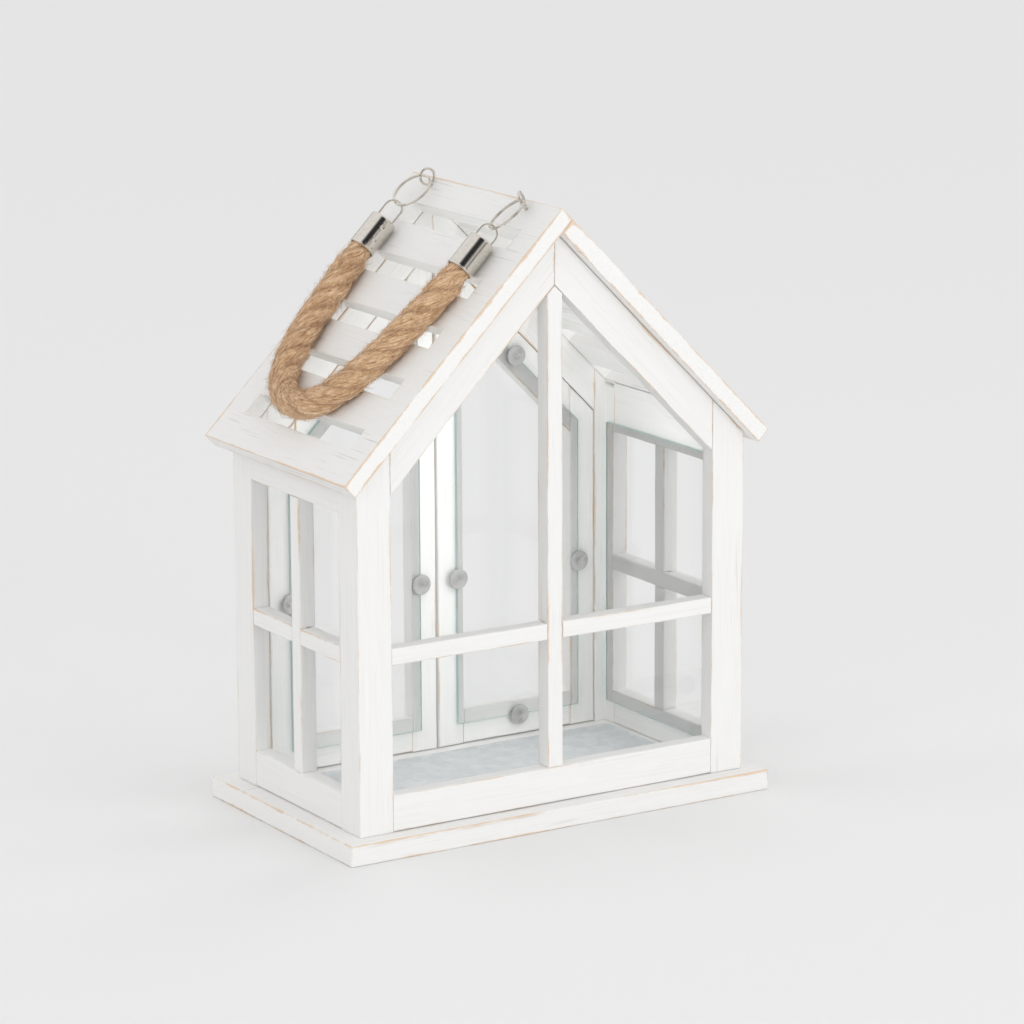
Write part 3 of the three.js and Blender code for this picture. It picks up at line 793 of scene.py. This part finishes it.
def timber(name, seed):
    """A board with its arrises eased and a little uneven, and with where it is rubbed written on it."""
    bm = bmesh.new()
    bm.from_mesh(frame["nodes"][name].data)
    bmesh.ops.remove_doubles(bm, verts=bm.verts, dist=WELD)
    bmesh.ops.dissolve_limit(bm, angle_limit=math.radians(2), verts=bm.verts, edges=bm.edges)
    bm.normal_update()
    corners = np.array([tuple(v.co) for v in bm.verts])
    grain = grain_direction(name, corners)
    arrises = rubbed_arrises(bm, name, corners, grain)
    slice_up(bm, corners, grain)
    rounding = bm.edges.layers.float.new("bevel_weight_edge")
    for edge in sharp_edges(bm):
        edge[rounding] = 1.0 if name in WORN_ENDS or runs_along(edge, grain) else END_ARRIS / ARRIS
    if name not in WORN_ENDS:
        reach_ends(bm, corners, grain)
    drift = Vector((seed * 3.1, seed * 1.7, seed * 0.9))
    for vert in bm.verts:
        place = vert.co.copy()
        for waves, height in (SLOW_WOBBLE, QUICK_WOBBLE):
            vert.co += noise.noise_vector(place * waves + drift) * height
    board = eased(bm, name + "_board")
    bm.free()

    points = np.array([tuple(v.co) for v in board.data.vertices])
    rubbed = np.clip(1 - near_segments(points, arrises) / RUB_REACH, 0, 1)
    point_values(board, "rub", rubbed * WEAR.get(name, WEAR_ELSEWHERE))
    across = grain.orthogonal().normalized()
    basis = np.array([tuple(grain), tuple(across), tuple(grain.cross(across))])
    point_values(board, "grain", points @ basis.T + np.array([seed * 0.37, seed * 0.053, seed * 0.071]))
    normals = np.array([tuple(v.normal) for v in board.data.vertices])
    cut_ends = np.abs(normals @ np.array(tuple(grain))) > 0.6
    weathered = WEATHERED.get(name, WEATHERED_ELSEWHERE)
    point_values(board, "weather", np.where(cut_ends, WEATHERED_CUT_END, weathered))
    dress(board, name, WHITEWASH)


def add_timber():
    parts = frame["record"]["subparts"]
    boards = sorted(part["node"] for part in parts if part["material_slot"] == "whitewashed_wood")
    for seed, name in enumerate(boards):
        timber(name, seed + 1)


# ---- glass panes ----
def add_glass():
    """The panes keep their CAD shape; their narrow cut edges show the glass's green."""
    for name, pane in frame["nodes"].items():
        if not name.endswith("_glass"):
            continue
        low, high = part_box(name)
        size = high - low
        thin = min(range(3), key=lambda k: size[k])
        pane.data.materials.clear()
        pane.data.materials.append(CLEAR)
        pane.data.materials.append(EDGE)
        for polygon in pane.data.polygons:
            polygon.material_index = 0 if abs(polygon.normal[thin]) > 0.9 else 1


# ---- floor tray ----
TRAY_CORNER = 3 * MM


def add_tray():
    """A thin zinc sheet with its edges turned up a little and its corners rounded."""
    low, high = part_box("floor_tray")
    half_x, half_y = (high.x - low.x) / 2, (high.y - low.y) / 2
    middle = (low + high) / 2
    top = high.z - low.z
    section = [
        (0.0, 0.0), (0.0, 0.6 * top), (0.25 * MM, top), (0.8 * MM, 1.35 * top), (1.3 * MM, 1.3 * top),
        (1.9 * MM, 0.85 * top), (2.8 * MM, 0.7 * top), (6 * MM, 0.68 * top), (20 * MM, 0.68 * top),
    ]
    outline = rounded_box(-half_x, -half_y, half_x, half_y, TRAY_CORNER, steps=5)
    rings = []
    for inward, height in section:
        scale_x, scale_y = 1 - inward / half_x, 1 - inward / half_y
        rings.append([
            Vector((middle.x + x * scale_x, middle.y + y * scale_y, low.z + height)) for x, y in outline
        ])
    tray = Shell().rings(rings).piece("floor_tray_sheet")
    dress(tray, "floor_tray", TRAY_ZINC)


# ---- hardware ----
# Lines of a screw head's grid, and its cross, in head radii.
HEAD_LINES = (-1, -0.8, -0.62, -0.56, -0.35, -0.16, -0.1, 0, 0.1, 0.16, 0.35, 0.56, 0.62, 0.8, 1)
CROSS_HALF_WIDTH = 0.12
CROSS_REACH = 0.6
DISC_THICKNESS = 1.2 * MM
DISC_HEAD = 0.6 * MM             # room that a disc's screw head takes above it
DISC_HOLE_R = 1.0 * MM
DISC_SCREW_OFFSET = 3 * MM       # screw's axis, from the disc's
DISC_DIRECTIONS = {
    "meeting": (-1, 0), "hinge": (1, 0), "bottom": (0, -1), "top": (math.sqrt(0.5), math.sqrt(0.5)),
}
LEAF_THICKNESS = 1 * MM
KNUCKLE_R = 2 * MM
KNUCKLE_GAP = 0.3 * MM
LEAF_CLEAR = 2.3 * MM            # flat part of a leaf, from the pin's axis
LEAF_SCREW_HEIGHTS = (0.22, 0.78)
EYE_LOOP = (-86, 344)            # start and length of a screw eye's loop, in degrees
THREAD_TOP = 2.2 * MM            # from the loop down to the thread
THREAD_PITCH = 0.9 * MM
THREAD_DEPTH = 0.16              # in wire radii
THREAD_LOSS = 0.12               # how much thinner a threaded shank is, in wire radii
RING_TURNS = 1.96
RING_START = 0.9                 # angle of a split ring's first end
RING_STEP_OVER = (0.44, 0.12)    # where it steps over to its second turn, and over what length of it
CRIMP_REACH = 2.4 * MM           # size of a crimp mark,
CRIMP = (0.55 * MM, 0.85 * MM)   # depth and radius of its pit,
BURR = (0.12 * MM, 1.55 * MM, 0.35 * MM)     # and height, radius and width of the burr round that


def cross_head(shell, centre, out, radius, dome):
    """A domed screw head with a cross driven into it."""
    across = out.orthogonal().normalized()
    other = out.cross(across)
    count = len(HEAD_LINES)
    points = []
    for y in HEAD_LINES:
        for x in HEAD_LINES:
            u, v = x * math.sqrt(1 - y * y / 2), y * math.sqrt(1 - x * x / 2)
            height = dome * (1 - 0.75 * (u * u + v * v))
            if min(abs(x), abs(y)) < CROSS_HALF_WIDTH and max(abs(x), abs(y)) < CROSS_REACH:
                height -= 0.75 * dome + 0.1 * radius
            points.append(Vector(centre) + (across * u + other * v) * radius + out * height)
    faces = [
        (i * count + j, i * count + j + 1, (i + 1) * count + j + 1, (i + 1) * count + j)
        for i in range(count - 1) for j in range(count - 1)
    ]
    rim = list(range(count)) + [i * count + count - 1 for i in range(1, count)]
    rim += [count * count - 1 - i for i in range(1, count)]
    rim += [(count - 1 - i) * count for i in range(1, count - 1)]
    start = len(points)
    points += [points[i] - out * (dome * 0.25 + 0.35 * radius) for i in rim]
    for k, i in enumerate(rim):
        following = (k + 1) % len(rim)
        faces.append((i, start + k, start + following, rim[following]))
    faces.append(tuple(start + k for k in range(len(rim)))[::-1])
    shell.add(points, faces)


def add_retainers():
    """Zinc discs that hold the door panes, each on its own screw near its outer edge."""
    inward = Vector((0, -1, 0))
    for side, sign in (("left", -1), ("right", 1)):
        for where, (dx, dz) in DISC_DIRECTIONS.items():
            name = f"{side}_door_retainer_{where}"
            low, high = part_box(name)
            face_y = low.y + DISC_HEAD + DISC_THICKNESS
            centre = Vector(((low.x + high.x) / 2, face_y, (low.z + high.z) / 2))
            screw = centre + Vector((sign * dx, 0, dz)) * DISC_SCREW_OFFSET
            hub_r, hub_top = 1.3 * MM, DISC_THICKNESS * 0.9
            shank_r, shank = 1.2 * MM, high.y - centre.y
            shell = Shell()
            disc = drum(DISC_HOLE_R, (high.z - low.z) / 2, DISC_THICKNESS, 0.35 * MM)
            lathe(shell, disc, centre, inward, segments=56)
            hub = [(0, -0.2 * MM), (hub_r, -0.2 * MM), (hub_r, hub_top), (0, hub_top)]
            lathe(shell, hub, centre, inward, segments=24)
            lathe(shell, [(0, -shank), (shank_r, -shank), (shank_r, 0), (0, 0)], screw, inward, segments=16)
            cross_head(shell, screw + inward * DISC_THICKNESS, inward, SCREW_HEAD_R, 0.75 * MM)
            dress(shell.piece(name + "_disc"), name, DISC_ZINC)


def plate(shell, low, high, corner):
    """A thin plate with rounded corners and eased faces, lying across y, from low to high."""
    outline = rounded_box(low[0], low[2], high[0], high[2], corner, steps=4)
    middle_x, middle_z = (low[0] + high[0]) / 2, (low[2] + high[2]) / 2
    ease = min(0.18 * MM, (high[1] - low[1]) / 3)
    shell.rings([
        [
            Vector((x - math.copysign(inset, x - middle_x), level, z - math.copysign(inset, z - middle_z)))
            for x, z in outline
        ]
        for level, inset in ((low[1], ease), (low[1] + ease, 0), (high[1] - ease, 0), (high[1], ease))
    ])


def add_hinge_leaf(name, part, outward):
    """One leaf of a butt hinge, with two screws and its knuckles; outward is its side of the pin."""
    low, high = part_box(name)
    pin_x = low.x + KNUCKLE_R if outward > 0 else high.x - KNUCKLE_R
    pin_y = high.y - KNUCKLE_R
    left, right = sorted((pin_x + outward * LEAF_CLEAR, high.x if outward > 0 else low.x))
    shell = Shell()
    plate(shell, (left, low.y, low.z), (right, low.y + LEAF_THICKNESS, high.z), 1.2 * MM)
    third = (high.z - low.z) / 3
    if part == "post":
        spans = [(low.z, low.z + third - KNUCKLE_GAP), (high.z - third + KNUCKLE_GAP, high.z)]
    else:
        spans = [(low.z + third, high.z - third)]
    for start, end in spans:
        lathe(shell, drum(0, KNUCKLE_R, end - start, 0.25 * MM), (pin_x, pin_y, start), UP, segments=32)
        curl = sorted((pin_x, pin_x + outward * (LEAF_CLEAR + 1 * MM)))
        plate(shell, (curl[0], low.y + 0.3 * MM, start + 0.1 * MM),
              (curl[1], low.y + 1.5 * MM, end - 0.1 * MM), 0.2 * MM)
    for height in LEAF_SCREW_HEIGHTS:
        spot = Vector(((left + right) / 2, low.y + 0.95 * MM, low.z + (high.z - low.z) * height))
        cross_head(shell, spot, Vector((0, 1, 0)), 1.9 * MM, 0.45 * MM)
    dress(shell.piece(name + "_plate"), name, NICKEL)


def add_hinges():
    """Two small butt hinges for each door."""
    for side, sign in (("left", -1), ("right", 1)):
        for level in ("lower", "upper"):
            add_hinge_leaf(f"{side}_{level}_hinge_post_leaf", "post", sign)
            add_hinge_leaf(f"{side}_{level}_hinge_door_leaf", "door", -sign)


def add_knob():
    low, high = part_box("door_knob")
    centre = Vector(((low.x + high.x) / 2, low.y, (low.z + high.z) / 2))
    control = [
        (0, 0), (4, 0), (4.1, 0.5), (3.6, 1.1), (2.4, 1.7), (2.1, 2.8), (2.2, 4), (3.4, 5.2), (5, 6.1),
        (5.7, 7.2), (5.7, 8.2), (5.0, 9.3), (3.4, 10.1), (1.6, 10.35), (0, 10.4),
    ]
    profile = [(max(p.x, 0) * MM, p.y * MM) for p in spline([(r, h, 0) for r, h in control], per_span=4)]
    shell = Shell()
    lathe(shell, profile, centre, Vector((0, 1, 0)), segments=56)
    dress(shell.piece("door_knob_turned"), "door_knob", NICKEL)


def add_eye(end):
    """A screw eye: one bent wire, its loop not quite closed, with a threaded shank through the board."""
    lean = Vector((-math.sin(EYE_LEAN), 0, math.cos(EYE_LEAN)))
    centre = left_slope(EYE_S, EYE_Y[end], EYE_H)
    normal = Vector((0, 1, 0))
    normal.rotate(Quaternion(lean, EYE_TURN[end]))
    across = lean.cross(normal).normalized()
    low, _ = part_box(f"{end}_screw_eye")
    bottom = (centre.z - low.z) / lean.z - EYE_WIRE
    line = [centre - lean * (bottom - 0.5 * MM * k) for k in range(1, 14)]
    first, sweep = EYE_LOOP
    steps = 28
    for k in range(steps + 1):
        angle = math.radians(first + sweep * k / steps)
        line.append(centre + (across * math.cos(angle) + lean * math.sin(angle)) * EYE_R)
    step = 0.35 * MM
    smooth, _ = evenly(spline(line, per_span=4), step)
    radii = []
    for k, point in enumerate(smooth):
        share = min(1, (len(smooth) - 1 - k) / 2 + 0.45)
        if k and (point - centre).dot(lean) < -EYE_R - THREAD_TOP:
            share += THREAD_DEPTH * math.sin(2 * math.pi * k * step / THREAD_PITCH) - THREAD_LOSS
        radii.append(EYE_WIRE * share)
    shell = Shell()
    wire(shell, smooth, radii, sides=20)
    dress(shell.piece(f"{end}_screw_eye_wire"), f"{end}_screw_eye", NICKEL)


def add_split_ring(end):
    """Two turns of flat wire lying against each other."""
    eye, hold = left_slope(EYE_S, EYE_Y[end], EYE_H), left_slope(HOLD_S, FERRULE_Y[end], ROPE_H)
    down = (hold - eye).normalized()
    axis = (OFF_SLOPE - down * OFF_SLOPE.dot(down)).normalized()
    axis.rotate(Quaternion(down, RING_ROLL[end]))
    side = axis.cross(down).normalized()
    centre = (eye + hold) / 2
    width, depth = RING_HALF_WIDTH, RING_HALF_DEPTH * 0.49
    section = rounded_box(-width, -depth, width, depth, 0.22 * MM, steps=3)
    steps = 180
    step_at, step_length = RING_STEP_OVER
    rings = []
    for k in range(steps + 1):
        angle = 2 * math.pi * RING_TURNS * k / steps + RING_START
        rise = (smooth_step((k / steps - step_at) / step_length) - 0.5) * 2 * depth * 1.04
        out = down * math.cos(angle) + side * math.sin(angle)
        tip = min(1, 0.55 + min(k, steps - k) * 0.25)
        rings.append([centre + out * (RING_R + a * tip) + axis * (rise + b * tip) for a, b in section])
    shell = Shell().rings(rings)
    dress(shell.piece(f"{end}_split_ring_coil"), f"{end}_split_ring", NICKEL)


def add_ferrule(end):
    """A drawn nickel cap, crimped on the rope, with a wire bail through its closed end."""
    origin = left_slope(FERRULE_S[end], FERRULE_Y[end], ROPE_H)
    inner = FERRULE_R - FERRULE_WALL
    profile = [
        (0, 0), (FERRULE_R - 2.2 * MM, 0), (FERRULE_R - 0.9 * MM, 0.03 * MM),
        (FERRULE_R - 0.35 * MM, 0.2 * MM), (FERRULE_R - 0.08 * MM, 0.6 * MM),
    ]
    profile += [(FERRULE_R, h) for h in np.arange(1.4 * MM, FERRULE_LENGTH - 1.2 * MM, 0.5 * MM)]
    profile += [
        (FERRULE_R + 0.02 * MM, FERRULE_LENGTH - 1.0 * MM),
        (FERRULE_R + 0.14 * MM, FERRULE_LENGTH - 0.7 * MM),
        (FERRULE_R + 0.16 * MM, FERRULE_LENGTH - 0.3 * MM),
        (FERRULE_R - 0.05 * MM, FERRULE_LENGTH),
        (inner + 0.1 * MM, FERRULE_LENGTH - 0.05 * MM), (inner, FERRULE_LENGTH - 0.4 * MM),
        (inner, FERRULE_LENGTH / 2), (inner, 1.3 * MM), (0, 1.2 * MM),
    ]
    marks = [(MARK_ANGLE[end], 6 * MM), (MARK_ANGLE[end] - 0.15, 15 * MM)]
    (pit_depth, pit_r), (burr_height, burr_r, burr_width) = CRIMP, BURR

    def crimped(r, h, angle):
        if r < FERRULE_R - 0.1 * MM:
            return r
        for mark_angle, mark_h in marks:
            turn = (angle - mark_angle + math.pi) % (2 * math.pi) - math.pi
            away = math.hypot(turn * FERRULE_R, h - mark_h)
            if away < CRIMP_REACH:
                r -= pit_depth * math.exp(-(away / pit_r) ** 2)
                r += burr_height * math.exp(-((away - burr_r) / burr_width) ** 2)
        return r

    shell = Shell()
    lathe(shell, profile, origin, DOWN_SLOPE, segments=96, reshape=crimped)
    side = OFF_SLOPE.copy()
    side.rotate(Quaternion(DOWN_SLOPE, BAIL_TURN[end]))
    bend = left_slope(HOLD_S - BAIL_PLAY, FERRULE_Y[end], ROPE_H)
    foot = FERRULE_S[end] - HOLD_S + BAIL_PLAY + 1 * MM
    half = [(foot, 1), (foot - 2.5 * MM, 1), (BAIL_FOOT + 1 * MM, 1)]
    half += [(BAIL_FOOT * (1 - math.cos(a)), math.sin(a)) for a in (math.pi / 2, math.pi / 3, math.pi / 6)]
    bail = half + [(0, 0)] + [(down, -across) for down, across in reversed(half)]
    route = [bend + DOWN_SLOPE * down + side * BAIL_FOOT * across for down, across in bail]
    line, _ = evenly(spline(route, per_span=8), 0.4 * MM)
    wire(shell, line, BAIL_WIRE, sides=20)
    for sign in (-1, 1):
        lathe(shell, [
            (BAIL_WIRE * 0.9, 0.3 * MM), (BAIL_WIRE * 1.7, 0.3 * MM), (BAIL_WIRE * 1.6, -0.12 * MM),
            (BAIL_WIRE * 1.2, -0.2 * MM), (BAIL_WIRE * 0.9, -0.1 * MM),
        ], origin + side * BAIL_FOOT * sign, DOWN_SLOPE, segments=24)
    dress(shell.piece(f"{end}_ferrule_cap"), f"{end}_ferrule", NICKEL)


# ---- studio ----
FLOOR_HALF_SIZE = 40
SOFTBOX_SIZE = 1.8
LAMP_TARGET = Vector((0, 0, 0.15))
FILL_PLACES = ((-0.05, 0.09), (0.05, 0.09), (-0.05, 0.19), (0.05, 0.19), (0, 0.255))    # across, up
FILL_Y = -0.025
FILL_POWER = 0.06
WORLD_STRENGTH = 0.925
DARK_CARD = Vector((-0.25, -0.76, 0.6)).normalized()     # towards a dark card, seen in reflections only


def add_floor():
    material, _, surface = shader("studio_floor")
    surface.inputs["Base Color"].default_value = (0.84, 0.84, 0.84, 1)
    surface.inputs["Roughness"].default_value = 0.9
    surface.inputs["Specular IOR Level"].default_value = 0.1
    half = FLOOR_HALF_SIZE
    corners = [(-half, -half, 0), (half, -half, 0), (half, half, 0), (-half, half, 0)]
    floor = new_piece("studio_floor", corners, [(0, 1, 2, 3)], smooth=False)
    floor.location.z = cad_box[0][2]
    floor.data.materials.append(material)


def add_softbox(name, place, power):
    data = bpy.data.lights.new(name, "AREA")
    data.shape = "DISK"
    data.size = SOFTBOX_SIZE
    data.energy = power
    lamp = bpy.data.objects.new(name, data)
    bpy.context.scene.collection.objects.link(lamp)
    aim = (LAMP_TARGET - Vector(place)).to_track_quat("-Z", "Y").to_matrix()
    lamp.matrix_world = Matrix.Translation(place) @ aim.to_4x4()
    lamp.visible_glossy = False


def add_interior_fill():
    """A faint glow in the middle of the lantern, for the light that a pale studio throws back into it."""
    for k, (x, height) in enumerate(FILL_PLACES):
        data = bpy.data.lights.new(f"interior_fill_{k}", "POINT")
        data.energy = FILL_POWER
        data.shadow_soft_size = 0.03
        lamp = bpy.data.objects.new(f"interior_fill_{k}", data)
        lamp.location = (x, FILL_Y, height)
        lamp.visible_camera = False
        lamp.visible_glossy = False
        lamp.visible_transmission = False
        bpy.context.scene.collection.objects.link(lamp)


def add_studio():
    add_floor()
    world = bpy.data.worlds.new("studio")
    bpy.context.scene.world = world
    world.use_nodes = True
    tree = world.node_tree
    direction = texture_place(tree, "Generated")
    facing = put(tree, "ShaderNodeVectorMath", {0: direction, 1: DARK_CARD}, operation="DOT_PRODUCT")
    card = spread(tree, facing.outputs["Value"], 0.84, 0.98)
    height = put(tree, "ShaderNodeSeparateXYZ", {"Vector": direction}).outputs["Z"]
    room = blend(tree, spread(tree, height, 0.05, 0.4), (0.30, 0.285, 0.265), (1, 1, 1))
    reflected = blend(tree, card, room, (0.03, 0.03, 0.032))
    seen = blend(tree, light_path(tree, "Is Glossy Ray"), (1, 1, 1), reflected)
    feed(tree, tree.nodes["Background"], {"Color": seen, "Strength": WORLD_STRENGTH})
    add_softbox("key", (0.3, -3.2, 1.0), power=19)
    add_softbox("fill", (-2.8, -1.4, 1.1), power=3)
    add_interior_fill()
    bpy.context.scene.view_settings.view_transform = "Standard"
    bpy.context.scene.view_settings.look = "None"


# ---- the whole lantern ----
add_camera()
add_rope()
add_timber()
add_glass()
add_tray()
add_retainers()
add_hinges()
add_knob()
for end in ("back", "front"):
    add_eye(end)
    add_split_ring(end)
    add_ferrule(end)
add_studio()
